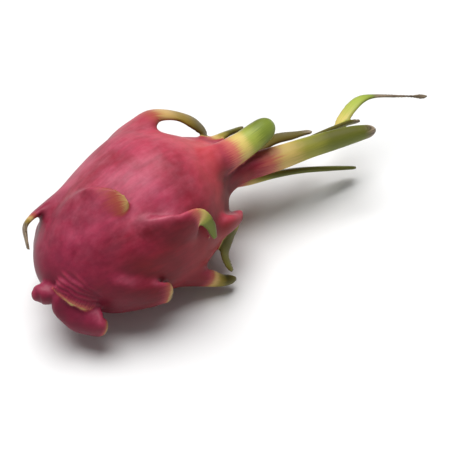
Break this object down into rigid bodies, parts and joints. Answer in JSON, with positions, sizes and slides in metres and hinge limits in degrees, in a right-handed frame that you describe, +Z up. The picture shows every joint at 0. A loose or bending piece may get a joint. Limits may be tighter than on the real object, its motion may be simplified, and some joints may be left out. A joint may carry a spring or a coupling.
{
  "type": "dragon fruit",
  "caption": "Whole dragon fruit lying on its side: a round rind whose leafy scales curl out green at the tips, with a crown of long fleshy scales at one end.",
  "frame": {"origin": "centre of the bounding box's footprint, on the table that the fruit lies on", "axes": "+X from the stem end to the crown, +Z up, -Y the side the picture shows"},
  "size_m": [0.2667, 0.1028, 0.0823],
  "materials": {
    "rind": "waxy satin rind, pink to crimson, with green scale tips"
  },
  "bodies": {
    "root": {"dragon_fruit": "rind"}
  },
  "joints": []
}
